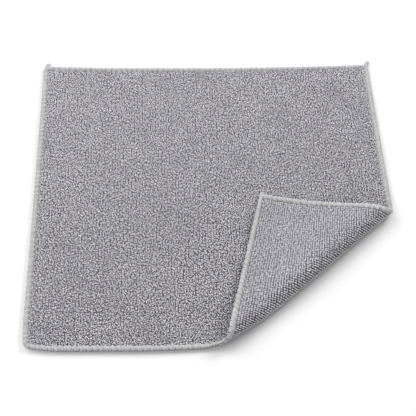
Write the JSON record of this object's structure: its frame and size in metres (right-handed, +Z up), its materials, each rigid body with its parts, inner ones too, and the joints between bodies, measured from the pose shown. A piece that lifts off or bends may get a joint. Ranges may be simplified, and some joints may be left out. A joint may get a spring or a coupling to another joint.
{
  "type": "microfibre cleaning cloth with a folded corner",
  "caption": "Light grey terry microfibre cleaning cloth with an overlocked hem, lying flat with its front right corner folded back over it.",
  "frame": {"origin": "middle of the cloth's outline seen from above, on the surface it rests on", "axes": "+Z up, the cloth's front edge faces -Y, the folded corner is at the front right, towards +X and -Y"},
  "size_m": [0.3258, 0.3294, 0.0153],
  "materials": {
    "terry": "looped microfibre terry, matt"
  },
  "bodies": {
    "root": {"cloth": "terry"}
  },
  "joints": []
}
